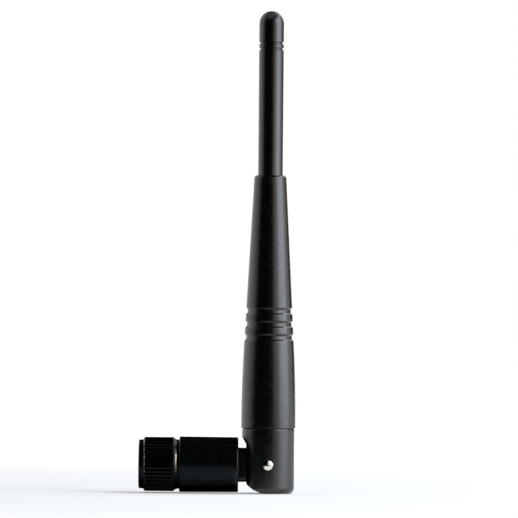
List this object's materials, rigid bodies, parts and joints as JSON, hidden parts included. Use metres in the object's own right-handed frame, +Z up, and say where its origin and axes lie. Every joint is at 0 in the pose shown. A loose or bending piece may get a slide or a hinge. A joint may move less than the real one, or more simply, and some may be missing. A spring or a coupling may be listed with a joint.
{
  "type": "antenna",
  "caption": "Tilt-and-swivel whip antenna for 2.4 GHz: a thin rod on a tapered grip, a hinged knuckle, a swivel barrel and a knurled coaxial plug.",
  "frame": {"origin": "centre of the bounding box in plan, at the height of the mast's foot", "axes": "+Z up along the mast, -X along the plug towards the jack, Y along the hinge pin"},
  "size_m": [0.0418, 0.0148, 0.1286],
  "materials": {
    "black_plastic": "satin black moulded plastic with a very fine spark texture",
    "barrel_plastic": "satin black moulded plastic",
    "bright_steel": "polished pin end",
    "black_plating": "brass with a glossy black plating",
    "plug_plating": "brass with nickel plating",
    "white_plastic": "milky white turned plastic",
    "gold_plating": "gold plating",
    "seal_rubber": "dull red silicone rubber",
    "spring_bronze": "bare spring bronze",
    "nickel_plating": "nickel plating",
    "cable_jacket": "smooth brown cable jacket",
    "shrink_tube": "black heat-shrink tube",
    "foam": "pale foam",
    "raw_brass": "drawn brass tube",
    "copper": "bare copper wire"
  },
  "bodies": {
    "connector": {"plug_body": "plug_plating", "connector_insulator": "white_plastic", "centre_contact": "gold_plating", "gasket": "seal_rubber", "retaining_ring": "spring_bronze", "swivel_ring": "spring_bronze", "crimp_ferrule": "nickel_plating", "lead_coax": "cable_jacket"},
    "nut": {"coupling_nut": "black_plating"},
    "base": {"swivel_base": "barrel_plastic"},
    "mast": {"knuckle": "black_plastic", "radome": "black_plastic", "hinge_pin_front": "bright_steel", "hinge_pin_rear": "bright_steel", "mast_coax": "cable_jacket", "cable_boot": "shrink_tube", "lower_spacer": "foam", "dipole_sleeve": "raw_brass", "feed_insulator": "white_plastic", "sleeve_spacer": "foam", "whip_wire": "copper", "whip_tube": "shrink_tube", "tip_spacer": "foam"}
  },
  "joints": [
    {"name": "nut_spin", "type": "hinge", "parent": "connector", "child": "nut", "pos_m": [0.01363, 0, 0.00765], "axis": [1, 0, 0], "continuous": true},
    {"name": "base_swivel", "type": "hinge", "parent": "connector", "child": "base", "pos_m": [0.01363, 0, 0.00765], "axis": [1, 0, 0], "range_deg": [-180, 180]},
    {"name": "mast_tilt", "type": "hinge", "parent": "base", "child": "mast", "pos_m": [0.01363, 0, 0.00765], "axis": [0, 1, 0], "range_deg": [0, 90]}
  ]
}
